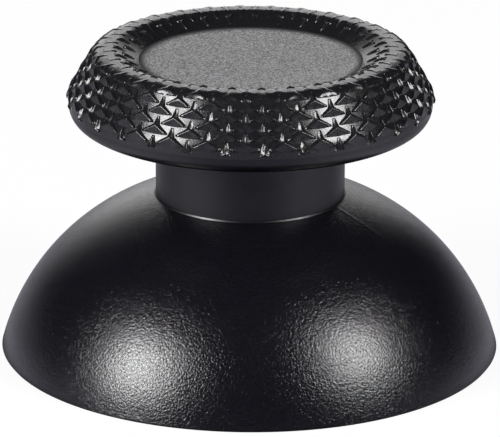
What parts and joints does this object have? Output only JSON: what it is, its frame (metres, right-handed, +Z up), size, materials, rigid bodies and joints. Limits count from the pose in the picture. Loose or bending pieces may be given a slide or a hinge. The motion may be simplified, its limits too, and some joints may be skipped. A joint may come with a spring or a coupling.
{
  "type": "thumbstick cap",
  "caption": "Thumbstick cap of a game controller: a hollow dome on a short neck under a dished round head with a studded edge.",
  "frame": {"origin": "centre of the dome's open rim, in the plane that the cap stands on", "axes": "+Z up along the cap's axis, from the open rim to the thumb face; -Y faces the viewer of the picture"},
  "size_m": [0.025, 0.025, 0.0156],
  "materials": {
    "black_plastic": "moulded black plastic: fine leather grain on the dome, satin neck, semi-gloss studded edge, matte disc"
  },
  "bodies": {
    "root": {"thumbstick_cap": "black_plastic"}
  },
  "joints": []
}
